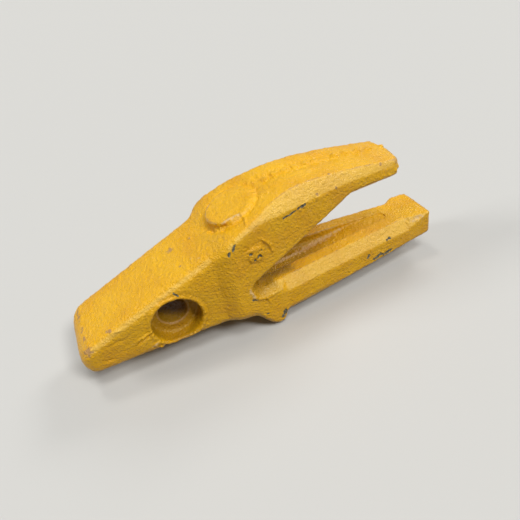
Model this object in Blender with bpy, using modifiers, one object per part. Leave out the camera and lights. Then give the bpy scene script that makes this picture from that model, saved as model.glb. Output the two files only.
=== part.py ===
"""Weld-on two-strap tooth adapter: one solid steel casting.

Lengths are millimetres until the last step, which turns them to metres.
While the shape is made, x runs from the pin bore toward the strap tips, y runs
across the casting and z is the height above the face that lies on the lip plate.
At the end the whole casting is moved along x so that the origin is the middle of
the seat pad near the tip of the lower strap.
"""
import math

import bmesh
import bpy
from mathutils import Matrix, Vector

MM = 0.001

# Nose that carries the tooth
NOSE_END_X = -80.0
NOSE_END_ROUND = 8.0
NOSE_PLAN_ROUND = 11.0
NOSE_HALF_WIDTH = 33.8
NOSE_WIDENING = 0.012
NOSE_TOP_AT_PIN = 33.3
NOSE_TOP_SLOPE = 0.394
NOSE_BOTTOM_Z = -22.4
NOSE_TOP_ROUND = 7.5
NOSE_BOTTOM_ROUND = 8.4

# Shoulder that the tooth butts against
SHOULDER_START_X = 37.0
SHOULDER_FULL_X = 53.0
SHOULDER_TOP_X = 58.0
SHOULDER_TOP_Z = 60.3
SHOULDER_TOP_SLOPE = 0.38
SIDE_HALF_WIDTH_AT_PIN = 47.6
SIDE_TAPER = 0.1112
SHOULDER_TOP_ROUND = 6.0
SHOULDER_BOTTOM_START_X = 44.0
SHOULDER_BOTTOM_CUT_Y = 10.5
SHOULDER_BOTTOM_CUT_Z = 12.6

# Upper strap
CREST_X = 121.0
CREST_Z = 77.6
UPPER_TIP_X = 214.0
UPPER_TIP_Z = 66.4
UPPER_TIP_SLOPE = -0.17
UPPER_TIP_BOW = 3.0
UPPER_TIP_CORNER = 7.0
CHAMFER_START_X = 70.0
CHAMFER_FLAT_X = 103.0
CREST_CHAMFER_Y = 9.7
CREST_CHAMFER_Z = 12.5
UPPER_TIP_CHAMFER_Y = 2.2
UPPER_TIP_CHAMFER_Z = 4.6
CHAMFER_ROUNDNESS = 0.12

# Lower strap
LOWER_TIP_X = 249.0
LOWER_TIP_ROUND = 2.5
STRAP_START_X = 97.0
STRAP_START_BOTTOM_Z = -33.0
STRAP_BEND_X = 120.0
STRAP_THIN_X = 168.0
STRAP_THIN_BOTTOM_Z = -27.8
LOWER_TIP_BOTTOM_Z = -23.0
STRAP_CHAMFER_Y = 4.2
STRAP_CHAMFER_Z = 6.5
THIN_CHAMFER = 1.8
STRAP_ROUNDNESS = 0.15
THIN_ROUNDNESS = 0.6

# Heel under the shoulder
HEEL_START_X = 62.0
HEEL_FRONT_X = 80.0
HEEL_BACK_X = 86.0
HEEL_END_X = 94.0
HEEL_DROP = 11.0
HEEL_ROUND = 6.3

# Fork that takes the lip plate
FORK_ROOT_X = 79.8
FORK_ROOT_RADIUS = 6.3
LIP_EDGE_SLOPE = 0.4365
LIP_GAP = 51.2
LIP_GAP_X = 150.0
UPPER_FACE_FALL = 0.035
FORK_BEND_RADIUS = 16.0
FORK_OPEN_X = 262.0

# Weld bevels along both sides of the fork
BEVEL_WIDTH = 7.8
BEVEL_DEPTH = 9.9
BEVEL_ROOT_DEPTH = 5.3
BEVEL_UPPER_DEPTH = 6.3
BEVEL_ROOT_X = 72.0
BEVEL_ROOT_Z = 6.0
BEVEL_ROOT_RADIUS = 9.5
BEVEL_FULL_X = 94.3
BEVEL_DEEPEN_LENGTH = 8.0
BEVEL_RUNOUT_X = 224.5
BEVEL_RUNOUT_LENGTH = 12.0
BEVEL_INNER_LEAD = 2.0
SEAT_START_LENGTH = 6.0

# Relief groove in the seat face of the lower strap
GROOVE_START_X = 66.0
GROOVE_END_X = 213.0
GROOVE_START_HALF = 18.6
GROOVE_END_HALF = 5.6
GROOVE_DEPTH = 10.0
GROOVE_FILLET = 4.8
GROOVE_CORNER = 6.0
GROOVE_TOP_Z = 9.5

# Pin bore and the round recess for its retainer
PIN_Z = 1.3
BORE_RADIUS = 12.2
RECESS_RADIUS = 21.0
RECESS_DEPTH = 14.2
RECESS_EDGE = 0.8

# Round boss on the shoulder
BOSS_X = 69.5
BOSS_TOP_Z = 67.0
BOSS_TILT_DEG = 17.0
BOSS_RADIUS = 22.5
BOSS_EDGE = 1.6
BOSS_ROOT = 14.0

# The origin of the finished part sits here on the seat face
SEAT_X = 230.0

# Counts of steps in corners, arcs and full turns
CORNER_STEPS = 6
SMALL_STEPS = 4
ARC_STEPS = 10
ROUND_STEPS = 56

# Distance between sections along each stretch of the casting
NOSE_SPACING = 9.0
SHOULDER_SPACING = 2.5
STRAP_SPACING = 8.0
TIP_SPACING = 12.0

# Cutters run this far past the casting on each side
CUT_PAST = 60.0
BEVEL_CUT_SHARE = 1.3


def smooth(value, start, end):
    """Value from 0 at start to 1 at end with level ends."""
    t = min(max((value - start) / (end - start), 0.0), 1.0)
    return t * t * (3.0 - 2.0 * t)


def mix(first, second, share):
    return first + (second - first) * share


def hermite(x, x0, z0, slope0, x1, z1, slope1):
    """Cubic that leaves (x0, z0) and meets (x1, z1) with the two slopes."""
    span = x1 - x0
    t = (x - x0) / span
    a = (2 * t ** 3 - 3 * t ** 2 + 1) * z0 + (t ** 3 - 2 * t ** 2 + t) * span * slope0
    b = (3 * t ** 2 - 2 * t ** 3) * z1 + (t ** 3 - t ** 2) * span * slope1
    return a + b


def side_half(x):
    """Half width of the flat flanks behind the shoulder."""
    return SIDE_HALF_WIDTH_AT_PIN - SIDE_TAPER * x


def half_width(x):
    nose = NOSE_HALF_WIDTH + NOSE_WIDENING * x
    if x <= SHOULDER_START_X:
        return nose
    if x >= SHOULDER_FULL_X:
        return side_half(x)
    return mix(nose, side_half(x), smooth(x, SHOULDER_START_X, SHOULDER_FULL_X))


def top_z(x):
    nose = NOSE_TOP_AT_PIN + NOSE_TOP_SLOPE * x
    if x <= SHOULDER_START_X:
        return nose
    if x <= SHOULDER_TOP_X:
        start = NOSE_TOP_AT_PIN + NOSE_TOP_SLOPE * SHOULDER_START_X
        return hermite(x, SHOULDER_START_X, start, NOSE_TOP_SLOPE,
                       SHOULDER_TOP_X, SHOULDER_TOP_Z, SHOULDER_TOP_SLOPE)
    if x <= CREST_X:
        return hermite(x, SHOULDER_TOP_X, SHOULDER_TOP_Z, SHOULDER_TOP_SLOPE,
                       CREST_X, CREST_Z, 0.0)
    if x <= UPPER_TIP_X:
        return hermite(x, CREST_X, CREST_Z, 0.0, UPPER_TIP_X, UPPER_TIP_Z, UPPER_TIP_SLOPE)
    return UPPER_TIP_Z + UPPER_TIP_SLOPE * (x - UPPER_TIP_X)


def bottom_z(x):
    if x <= STRAP_BEND_X:
        level = mix(NOSE_BOTTOM_Z, STRAP_START_BOTTOM_Z,
                    smooth(x, SHOULDER_BOTTOM_START_X, STRAP_START_X))
    elif x <= STRAP_THIN_X:
        level = mix(STRAP_START_BOTTOM_Z, STRAP_THIN_BOTTOM_Z,
                    smooth(x, STRAP_BEND_X, STRAP_THIN_X))
    else:
        share = (x - STRAP_THIN_X) / (LOWER_TIP_X - STRAP_THIN_X)
        level = mix(STRAP_THIN_BOTTOM_Z, LOWER_TIP_BOTTOM_Z, share)
    heel = smooth(x, HEEL_START_X, HEEL_FRONT_X) - smooth(x, HEEL_BACK_X, HEEL_END_X)
    return level - HEEL_DROP * heel


def top_corner(x):
    """Width, height and roundness of the upper corner at one section."""
    if x <= SHOULDER_TOP_X:
        return NOSE_TOP_ROUND, NOSE_TOP_ROUND, 1.0
    if x <= CREST_X:
        share = smooth(x, CHAMFER_START_X, CREST_X)
        return (mix(SHOULDER_TOP_ROUND, CREST_CHAMFER_Y, share),
                mix(SHOULDER_TOP_ROUND, CREST_CHAMFER_Z, share),
                mix(1.0, CHAMFER_ROUNDNESS, smooth(x, CHAMFER_START_X, CHAMFER_FLAT_X)))
    share = min((x - CREST_X) / (UPPER_TIP_X - CREST_X), 1.0)
    return (mix(CREST_CHAMFER_Y, UPPER_TIP_CHAMFER_Y, share),
            mix(CREST_CHAMFER_Z, UPPER_TIP_CHAMFER_Z, share), CHAMFER_ROUNDNESS)


def bottom_corner(x):
    """Width, height and roundness of the lower corner at one section."""
    if x <= HEEL_FRONT_X:
        share = smooth(x, SHOULDER_START_X, SHOULDER_FULL_X)
        wide = mix(NOSE_BOTTOM_ROUND, SHOULDER_BOTTOM_CUT_Y, share)
        tall = mix(NOSE_BOTTOM_ROUND, SHOULDER_BOTTOM_CUT_Z, share)
        heel = smooth(x, HEEL_START_X, HEEL_FRONT_X)
        return mix(wide, HEEL_ROUND, heel), mix(tall, HEEL_ROUND, heel), 1.0
    if x <= STRAP_BEND_X:
        share = smooth(x, HEEL_BACK_X, STRAP_START_X)
        return (mix(HEEL_ROUND, STRAP_CHAMFER_Y, share),
                mix(HEEL_ROUND, STRAP_CHAMFER_Z, share), mix(1.0, STRAP_ROUNDNESS, share))
    share = smooth(x, STRAP_BEND_X, STRAP_THIN_X)
    return (mix(STRAP_CHAMFER_Y, THIN_CHAMFER, share),
            mix(STRAP_CHAMFER_Z, THIN_CHAMFER, share),
            mix(STRAP_ROUNDNESS, THIN_ROUNDNESS, share))


def corner_points(wide, tall, round_share):
    """Steps inward and downward from a sharp corner, from the flank to the flat."""
    points = []
    for step in range(CORNER_STEPS + 1):
        t = step / CORNER_STEPS
        angle = t * math.pi / 2
        inward = mix(wide * t, wide * (1.0 - math.cos(angle)), round_share)
        down = mix(tall * (1.0 - t), tall * (1.0 - math.sin(angle)), round_share)
        points.append((inward, down))
    return points


def section(x, side_inset, level_inset):
    """Closed ring of one cross-section, made narrower and lower by the insets."""
    half = half_width(x) - side_inset
    top = top_z(x) - level_inset
    bottom = bottom_z(x) + level_inset
    upper = corner_points(*top_corner(x))
    lower = corner_points(*bottom_corner(x))
    ring = [(half - inward, top - down) for inward, down in upper]
    ring += [(-(half - inward), top - down) for inward, down in reversed(upper)]
    ring += [(-(half - inward), bottom + down) for inward, down in lower]
    ring += [(half - inward, bottom + down) for inward, down in reversed(lower)]
    return [Vector((x, y, z)) for y, z in ring]


def stations():
    """Section places: close together where the shape turns, wide apart elsewhere."""
    rows = []
    for step in range(ARC_STEPS):
        angle = step / ARC_STEPS * math.pi / 2
        ahead = 1.0 - math.cos(angle)
        rows.append((NOSE_END_X + NOSE_PLAN_ROUND * ahead,
                     NOSE_PLAN_ROUND * (1.0 - math.sin(angle)),
                     NOSE_END_ROUND * (1.0 - math.sin(angle))))
    x = NOSE_END_X + NOSE_PLAN_ROUND
    while x < LOWER_TIP_X - LOWER_TIP_ROUND - 1.0:
        rows.append((x, 0.0, 0.0))
        if x < SHOULDER_START_X - SHOULDER_SPACING:
            x += NOSE_SPACING
        elif x < HEEL_END_X + SHOULDER_SPACING:
            x += SHOULDER_SPACING
        elif x < UPPER_TIP_X:
            x += STRAP_SPACING
        else:
            x += TIP_SPACING
    for step in range(SMALL_STEPS + 1):
        angle = step / SMALL_STEPS * math.pi / 2
        inset = LOWER_TIP_ROUND * (1.0 - math.cos(angle))
        rows.append((LOWER_TIP_X - LOWER_TIP_ROUND * (1.0 - math.sin(angle)), inset, inset))
    return rows


def mesh_object(name, bm, collection):
    bmesh.ops.recalc_face_normals(bm, faces=bm.faces)
    mesh = bpy.data.meshes.new(name)
    bm.to_mesh(mesh)
    bm.free()
    made = bpy.data.objects.new(name, mesh)
    collection.objects.link(made)
    return made


def loft(name, rings, collection):
    """Closed body through rings of equal length, with flat ends."""
    bm = bmesh.new()
    rows = [[bm.verts.new(point) for point in ring] for ring in rings]
    count = len(rings[0])
    for first, second in zip(rows, rows[1:]):
        for i in range(count):
            j = (i + 1) % count
            bm.faces.new((first[i], first[j], second[j], second[i]))
    bm.faces.new(rows[0])
    bm.faces.new(rows[-1])
    bmesh.ops.triangulate(bm, faces=bm.faces)
    return mesh_object(name, bm, collection)


def baked(source, name, collection):
    """Mesh copy of an object with its modifiers, joined where points meet."""
    bpy.context.view_layer.update()
    graph = bpy.context.evaluated_depsgraph_get()
    mesh = bpy.data.meshes.new_from_object(source.evaluated_get(graph))
    mesh.name = name
    mesh.transform(source.matrix_world)
    bm = bmesh.new()
    bm.from_mesh(mesh)
    bpy.data.objects.remove(source)
    bpy.data.meshes.remove(mesh)
    bmesh.ops.remove_doubles(bm, verts=bm.verts, dist=0.001)
    return mesh_object(name, bm, collection)


def extrusion(name, outline, depth, matrix, collection):
    """Solid from a closed flat outline, thickened both ways from its plane."""
    curve = bpy.data.curves.new(name, "CURVE")
    curve.dimensions = "2D"
    curve.fill_mode = "BOTH"
    curve.extrude = depth / 2
    spline = curve.splines.new("POLY")
    spline.points.add(len(outline) - 1)
    for point, (u, v) in zip(spline.points, outline):
        point.co = (u, v, 0.0, 1.0)
    spline.use_cyclic_u = True
    source = bpy.data.objects.new(name, curve)
    source.matrix_world = matrix
    collection.objects.link(source)
    return baked(source, name, collection)


def turned(name, profile, matrix, collection):
    """Round solid from a half profile of (radius, height) pairs."""
    mesh = bpy.data.meshes.new(name)
    points = [(radius, 0.0, height) for radius, height in profile]
    mesh.from_pydata(points, [(i, i + 1) for i in range(len(points) - 1)], [])
    source = bpy.data.objects.new(name, mesh)
    source.matrix_world = matrix
    collection.objects.link(source)
    screw = source.modifiers.new("turn", "SCREW")
    screw.angle = math.tau
    screw.steps = ROUND_STEPS
    screw.render_steps = ROUND_STEPS
    screw.use_merge_vertices = True
    screw.merge_threshold = 0.0001
    return baked(source, name, collection)


def arc(centre, radius, start_deg, end_deg, steps=ARC_STEPS):
    points = []
    for step in range(steps + 1):
        angle = math.radians(mix(start_deg, end_deg, step / steps))
        points.append((centre[0] + radius * math.cos(angle),
                       centre[1] + radius * math.sin(angle)))
    return points


def upper_face(slope_start, gap_z, open_x):
    """Points of the upper face: up the slope, round the bend, out along the flat."""
    start_x, start_z = slope_start
    rise = gap_z - UPPER_FACE_FALL * (start_x - LIP_GAP_X) - start_z
    run = rise / (LIP_EDGE_SLOPE + UPPER_FACE_FALL)
    corner = (start_x + run, start_z + LIP_EDGE_SLOPE * run)
    flat = math.atan(UPPER_FACE_FALL)
    slope = math.atan(LIP_EDGE_SLOPE)
    cut = FORK_BEND_RADIUS * math.tan((slope + flat) / 2)
    centre = (corner[0] - cut * math.cos(slope) + FORK_BEND_RADIUS * math.sin(slope),
              corner[1] - cut * math.sin(slope) - FORK_BEND_RADIUS * math.cos(slope))
    points = arc(centre, FORK_BEND_RADIUS, 90.0 + math.degrees(slope),
                 90.0 - math.degrees(flat), 6)
    points.append((open_x, gap_z - UPPER_FACE_FALL * (open_x - LIP_GAP_X)))
    return points


def fork_outlines():
    """Two side views of the space for the lip plate, point for point alike.

    The first is the fork as it is across the middle. The second is where the weld
    bevels come out on the flanks. Both run from the open end along the seat face,
    round the root and back out along the face of the upper strap.
    """
    slope_deg = math.degrees(math.atan(LIP_EDGE_SLOPE))
    runout = BEVEL_RUNOUT_X + BEVEL_RUNOUT_LENGTH
    inner = [(FORK_OPEN_X, 0.0), (runout - BEVEL_INNER_LEAD, 0.0),
             (BEVEL_RUNOUT_X - BEVEL_INNER_LEAD, 0.0),
             (BEVEL_FULL_X + BEVEL_INNER_LEAD, 0.0),
             (FORK_ROOT_X + SEAT_START_LENGTH, 0.0)]
    inner += arc((FORK_ROOT_X, FORK_ROOT_RADIUS), FORK_ROOT_RADIUS, 270.0, 90.0 + slope_deg)
    inner += upper_face(inner[-1], LIP_GAP, FORK_OPEN_X)
    outer = [(FORK_OPEN_X, 0.0), (runout, 0.0), (BEVEL_RUNOUT_X, -BEVEL_DEPTH),
             (BEVEL_FULL_X, -BEVEL_DEPTH),
             (BEVEL_FULL_X - BEVEL_DEEPEN_LENGTH, -BEVEL_ROOT_DEPTH)]
    outer += arc((BEVEL_ROOT_X, BEVEL_ROOT_Z), BEVEL_ROOT_RADIUS, 270.0, 90.0 + slope_deg)
    outer += upper_face(outer[-1], LIP_GAP + BEVEL_UPPER_DEPTH, FORK_OPEN_X)
    return inner, outer


def fork_ring(side, share):
    """Fork outline beside one flank: share 0 inside the bevel, 1 on the flank, past 1 in air."""
    ring = []
    for (xi, zi), (xo, zo) in zip(*fork_outlines()):
        x = mix(xi, xo, share)
        y = side_half(x) - BEVEL_WIDTH * (1.0 - share)
        ring.append(Vector((x, side * y, mix(zi, zo, share))))
    return ring


def fork_cutter(name, collection):
    """The space for the lip plate with the weld bevels of both flanks."""
    rings = [fork_ring(-1.0, BEVEL_CUT_SHARE), fork_ring(-1.0, 0.0),
             fork_ring(1.0, 0.0), fork_ring(1.0, BEVEL_CUT_SHARE)]
    return loft(name, rings, collection)


def groove_ring(inset, z):
    """Long tapered outline of the relief groove at one height."""
    start = GROOVE_START_HALF - inset
    end = GROOVE_END_HALF - inset
    centre = GROOVE_END_X - GROOVE_END_HALF
    ring = [Vector((x, y, z)) for x, y in arc((centre, 0.0), end, 90.0, -90.0, 8)]
    corner = GROOVE_CORNER
    left = GROOVE_START_X + inset
    ring += [Vector((x, y, z)) for x, y in arc((left + corner, -start + corner), corner,
                                              270.0, 180.0, SMALL_STEPS)]
    ring += [Vector((x, y, z)) for x, y in arc((left + corner, start - corner), corner,
                                              180.0, 90.0, SMALL_STEPS)]
    return ring


def groove_cutter(name, collection):
    rings = [groove_ring(0.0, GROOVE_TOP_Z), groove_ring(0.0, -GROOVE_DEPTH + GROOVE_FILLET)]
    for step in range(1, SMALL_STEPS + 1):
        angle = step / SMALL_STEPS * math.pi / 2
        rings.append(groove_ring(GROOVE_FILLET * (1.0 - math.cos(angle)),
                                 -GROOVE_DEPTH + GROOVE_FILLET * (1.0 - math.sin(angle))))
    return loft(name, rings, collection)


def upper_tip_cutter(name, collection):
    """Clears everything past the bowed, round-cornered end of the upper strap."""
    half = side_half(UPPER_TIP_X)
    corner = UPPER_TIP_CORNER
    start = UPPER_TIP_X - corner
    outline = arc((start, -half + corner), corner, 270.0, 352.0, 6)
    outline.append((UPPER_TIP_X + UPPER_TIP_BOW, 0.0))
    outline += arc((start, half - corner), corner, 8.0, 90.0, 6)
    outline += [(start, CUT_PAST), (FORK_OPEN_X, CUT_PAST), (FORK_OPEN_X, -CUT_PAST),
                (start, -CUT_PAST)]
    place = Matrix.Translation((0.0, 0.0, LIP_GAP / 2 + CUT_PAST / 2))
    return extrusion(name, outline, CUT_PAST, place, collection)


def boolean(target, other, operation):
    modifier = target.modifiers.new(other.name, "BOOLEAN")
    modifier.operation = operation
    modifier.object = other
    modifier.solver = "EXACT"
    bpy.context.view_layer.update()
    graph = bpy.context.evaluated_depsgraph_get()
    mesh = bpy.data.meshes.new_from_object(target.evaluated_get(graph))
    target.modifiers.clear()
    old = target.data
    target.data = mesh
    bpy.data.meshes.remove(old)


def paint_material():
    material = bpy.data.materials.new("yellow_painted_cast_steel")
    material.use_nodes = True
    shader = material.node_tree.nodes["Principled BSDF"]
    shader.inputs["Base Color"].default_value = (0.83, 0.47, 0.02, 1.0)
    shader.inputs["Roughness"].default_value = 0.38
    material.diffuse_color = (0.83, 0.47, 0.02, 1.0)
    return material


def hide_cutter(cutter):
    cutter.hide_render = True
    cutter.display_type = "WIRE"


def finish_mesh(casting):
    """Drop slivers, move the origin to the seat pad and go over to metres."""
    bm = bmesh.new()
    bm.from_mesh(casting.data)
    bmesh.ops.remove_doubles(bm, verts=bm.verts, dist=0.01)
    bmesh.ops.dissolve_degenerate(bm, edges=bm.edges, dist=0.005)
    bmesh.ops.triangulate(bm, faces=bm.faces)
    bmesh.ops.recalc_face_normals(bm, faces=bm.faces)
    bm.transform(Matrix.Scale(MM, 4) @ Matrix.Translation((-SEAT_X, 0.0, 0.0)))
    bm.to_mesh(casting.data)
    bm.free()
    casting.data.polygons.foreach_set("use_smooth", [True] * len(casting.data.polygons))
    casting.data.set_sharp_from_angle(angle=math.radians(32.0))
    casting.data.name = "adapter_casting"
    casting.data.materials.clear()
    casting.data.materials.append(paint_material())


def build():
    for old in list(bpy.data.objects):
        bpy.data.objects.remove(old)
    parts = bpy.data.collections.new("bucket_tooth_adapter")
    cutters = bpy.data.collections.new("cutters")
    bpy.context.scene.collection.children.link(parts)
    bpy.context.scene.collection.children.link(cutters)

    casting = loft("adapter_casting", [section(*row) for row in stations()], parts)

    across = Matrix.Rotation(math.radians(90.0), 4, "X")
    boss_place = (Matrix.Translation((BOSS_X, 0.0, BOSS_TOP_Z))
                  @ Matrix.Rotation(math.radians(-BOSS_TILT_DEG), 4, "Y"))
    boss = turned("boss", [(0.0, -BOSS_ROOT), (BOSS_RADIUS, -BOSS_ROOT),
                           (BOSS_RADIUS, -BOSS_EDGE), (BOSS_RADIUS - BOSS_EDGE, 0.0),
                           (0.0, 0.0)][::-1], boss_place, cutters)

    fork = fork_cutter("fork", cutters)
    groove = groove_cutter("groove", cutters)
    tip = upper_tip_cutter("upper_tip", cutters)

    pin_axis = Matrix.Translation((0.0, 0.0, PIN_Z)) @ across
    bore = turned("bore", [(0.0, CUT_PAST), (BORE_RADIUS, CUT_PAST),
                           (BORE_RADIUS, -CUT_PAST), (0.0, -CUT_PAST)], pin_axis, cutters)
    face = half_width(0.0)
    floor = face - RECESS_DEPTH
    mouth = RECESS_RADIUS + RECESS_EDGE
    recess = turned("recess", [(0.0, CUT_PAST), (mouth + CUT_PAST - face, CUT_PAST),
                               (mouth, face), (RECESS_RADIUS, face - RECESS_EDGE),
                               (RECESS_RADIUS, floor), (0.0, floor)], pin_axis, cutters)

    boolean(casting, boss, "UNION")
    for cutter in (fork, groove, tip, bore, recess):
        boolean(casting, cutter, "DIFFERENCE")
    for cutter in cutters.objects:
        hide_cutter(cutter)
    finish_mesh(casting)


build()
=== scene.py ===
"""Looks of the weld-on bucket tooth adapter: cast skin, yellow enamel, light and camera.

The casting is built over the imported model. Lengths in the classes below are
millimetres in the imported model's frame: x toward the strap tips, y across, z up
from the seat face of the lower strap. The near flank is the one at negative y.
"""

import logging
import math
from dataclasses import dataclass, field, replace
from enum import Enum, IntEnum

import bmesh
import bpy
import numpy as np
from mathutils import Matrix, Vector
from mathutils.bvhtree import BVHTree


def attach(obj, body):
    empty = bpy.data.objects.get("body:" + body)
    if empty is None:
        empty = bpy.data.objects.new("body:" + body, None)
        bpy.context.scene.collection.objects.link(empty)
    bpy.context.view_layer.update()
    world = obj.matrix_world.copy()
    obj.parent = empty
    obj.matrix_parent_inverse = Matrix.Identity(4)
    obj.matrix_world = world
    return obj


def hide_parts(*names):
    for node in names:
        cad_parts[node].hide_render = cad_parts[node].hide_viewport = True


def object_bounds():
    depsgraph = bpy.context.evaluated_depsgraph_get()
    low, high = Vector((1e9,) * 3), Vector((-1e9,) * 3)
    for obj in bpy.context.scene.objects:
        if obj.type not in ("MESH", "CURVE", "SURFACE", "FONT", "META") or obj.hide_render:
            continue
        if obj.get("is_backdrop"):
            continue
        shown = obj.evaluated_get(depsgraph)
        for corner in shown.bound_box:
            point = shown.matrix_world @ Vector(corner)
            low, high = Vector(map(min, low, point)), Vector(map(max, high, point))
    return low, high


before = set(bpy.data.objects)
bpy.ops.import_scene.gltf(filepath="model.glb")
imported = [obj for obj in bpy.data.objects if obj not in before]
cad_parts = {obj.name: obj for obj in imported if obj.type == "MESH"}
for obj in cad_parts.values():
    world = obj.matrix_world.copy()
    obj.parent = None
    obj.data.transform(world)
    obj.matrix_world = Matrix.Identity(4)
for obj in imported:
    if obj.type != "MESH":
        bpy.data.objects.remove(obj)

LOG = logging.getLogger("adapter")
MM = 0.001
CAD_NODE = "adapter_casting"

Point = tuple[float, float, float]
Span = tuple[float, float]

# Middle of the pin bore, and the plane of the nose's near flank
BORE: Point = (-230.0, 0.0, 1.3)
NEAR_FLANK = -34.0


class MixInput(IntEnum):
    """Numbers of the Mix node's inputs, because several of them share a name."""

    SHARE = 0
    LOW = 2
    HIGH = 3
    FIRST = 6
    SECOND = 7


class MixOutput(IntEnum):
    """Numbers of the Mix node's outputs."""

    NUMBER = 0
    COLOUR = 2


class NoiseKind(Enum):
    """How a noise field is turned into height."""

    ROLLING = "rolling"
    PITTED = "pitted"


class Wear(Enum):
    """What has happened to the enamel at a spot, or the painted highlight laid on it."""

    BARE = "bare"
    SCUFFED = "scuffed"
    CHALK_AND_SHEEN = "chalk_and_sheen"


def hex_to_linear(code: str) -> tuple[float, float, float, float]:
    """Turn an sRGB hex colour into linear light.

    Args:
        code: Colour such as "#F2B31C".

    Returns:
        Linear red, green, blue and an alpha of 1.
    """
    parts = [int(code[i:i + 2], 16) / 255 for i in (1, 3, 5)]
    linear = [c / 12.92 if c <= 0.04045 else ((c + 0.055) / 1.055) ** 2.4 for c in parts]
    return (linear[0], linear[1], linear[2], 1.0)


def smooth_step(values: np.ndarray, low: float, high: float) -> np.ndarray:
    """Ease from 0 at low to 1 at high.

    Args:
        values: Numbers to ease.
        low: Where the result leaves 0.
        high: Where the result reaches 1.

    Returns:
        Eased numbers from 0 to 1.
    """
    t = np.clip((values - low) / (high - low), 0.0, 1.0)
    return t * t * (3.0 - 2.0 * t)


@dataclass(frozen=True)
class GradientNoise:
    """Smooth repeatable noise in space, one lump to each wavelength."""

    wavelength: float
    seed: int
    cells: int = 256
    # Brings the peaks of the noise to about 1
    gain: float = 1.6

    def at(self, points: np.ndarray) -> np.ndarray:
        """Sample the noise.

        Args:
            points: Places in millimetres, one row each.

        Returns:
            Values of about -1 to 1.
        """
        table = np.random.default_rng(self.seed)
        order = table.permutation(self.cells)
        slopes = table.normal(size=(self.cells, 3))
        slopes /= np.linalg.norm(slopes, axis=1)[:, None]
        scaled = points / self.wavelength
        cell = np.floor(scaled).astype(int)
        inside = scaled - cell
        ease = inside ** 3 * (inside * (inside * 6 - 15) + 10)
        total = np.zeros(len(points))
        for corner in range(8):
            step = np.array([corner & 1, corner >> 1 & 1, corner >> 2 & 1])
            key = cell + step
            row = order[key[:, 0] % self.cells]
            row = order[(row + key[:, 1]) % self.cells]
            row = order[(row + key[:, 2]) % self.cells]
            lean = (slopes[row] * (inside - step)).sum(axis=1)
            weight = np.where(step == 1, ease, 1 - ease).prod(axis=1)
            total += lean * weight
        return total * self.gain


@dataclass(frozen=True)
class SoftBox:
    """A block of space with soft sides that limits where a feature acts."""

    low: Point
    high: Point
    soft: float = 10.0

    def weights(self, points: np.ndarray) -> np.ndarray:
        """1 well inside the block and 0 outside it."""
        inside = np.minimum(points - np.array(self.low), np.array(self.high) - points)
        return smooth_step(inside.min(axis=1), 0.0, self.soft)


@dataclass(frozen=True)
class SkinLayer:
    """One scale of unevenness in a sand-cast skin."""

    wavelength: float
    height: float
    seed: int
    kind: NoiseKind = NoiseKind.ROLLING
    stretch: Point = (1.0, 1.0, 1.0)
    zone: SoftBox | None = None
    # Noise at which a pit starts and at which it is at its deepest
    pit: Span = (0.35, 0.8)

    def heights(self, points: np.ndarray) -> np.ndarray:
        """Height of this layer at each point, in millimetres."""
        values = GradientNoise(self.wavelength, self.seed).at(points / np.array(self.stretch))
        if self.kind is NoiseKind.PITTED:
            values = -smooth_step(values, *self.pit)
        if self.zone is not None:
            values = values * self.zone.weights(points)
        return values * self.height


@dataclass(frozen=True)
class Ridge:
    """A low raised or sunk line in the casting, such as a parting-line fin."""

    start: Point
    end: Point
    width: float
    height: float
    # Shares of the length, from its middle, between which the line fades out
    fade: Span = (0.35, 0.62)

    def heights(self, points: np.ndarray) -> np.ndarray:
        """Height that the line adds at each point, in millimetres."""
        first = np.array(self.start)
        along = np.array(self.end) - first
        share = np.clip(((points - first) @ along) / (along @ along), 0.0, 1.0)
        away = np.linalg.norm(points - first - share[:, None] * along, axis=1)
        fade = 1.0 - smooth_step(np.abs(share - 0.5), *self.fade)
        return self.height * np.exp(-((away / self.width) ** 2)) * fade


@dataclass(frozen=True)
class Lump:
    """A low round raised or sunk place with a flat middle."""

    at: Point
    radius: float
    height: float
    flat_share: float = 0.45

    def heights(self, points: np.ndarray) -> np.ndarray:
        """Height that the lump adds at each point, in millimetres."""
        away = np.linalg.norm(points - np.array(self.at), axis=1)
        return self.height * (1.0 - smooth_step(away, self.radius * self.flat_share, self.radius))


@dataclass(frozen=True)
class Panel:
    """A stretch of surface that lies a little lower than the rest."""

    box: SoftBox
    height: float

    def heights(self, points: np.ndarray) -> np.ndarray:
        """Height that the panel adds at each point, in millimetres."""
        return self.height * self.box.weights(points)


@dataclass(frozen=True)
class Ring:
    """A round welt or furrow about an axis."""

    centre: Point
    axis: Point
    radius: float
    width: float
    height: float
    reach: float

    def heights(self, points: np.ndarray) -> np.ndarray:
        """Height that the ring adds at each point, in millimetres."""
        axis = np.array(self.axis) / np.linalg.norm(self.axis)
        offset = points - np.array(self.centre)
        along = offset @ axis
        radial = np.linalg.norm(offset - along[:, None] * axis, axis=1)
        away = np.abs(radial - self.radius)
        near = np.abs(along) < self.reach
        return self.height * np.exp(-((away / self.width) ** 2)) * near


@dataclass(frozen=True)
class WearAndSheenSpot:
    """A place where the enamel is chipped off, rubbed thin or chalked, or one that holds a painted
    highlight.
    """

    at: Point
    radius: float
    wear: Wear
    end: Point | None = None

    def depth(self, points: np.ndarray) -> np.ndarray:
        """1 at the middle of the spot, falling evenly to 0 at twice its radius."""
        first = np.array(self.at)
        offset = points - first
        if self.end is not None:
            along = np.array(self.end) - first
            share = np.clip((offset @ along) / (along @ along), 0.0, 1.0)
            offset = offset - share[:, None] * along
        away = np.linalg.norm(offset, axis=1)
        return np.clip(1.0 - away / (2.0 * self.radius), 0.0, 1.0)


Mark = Ridge | Lump | Panel | Ring | WearAndSheenSpot


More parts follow.
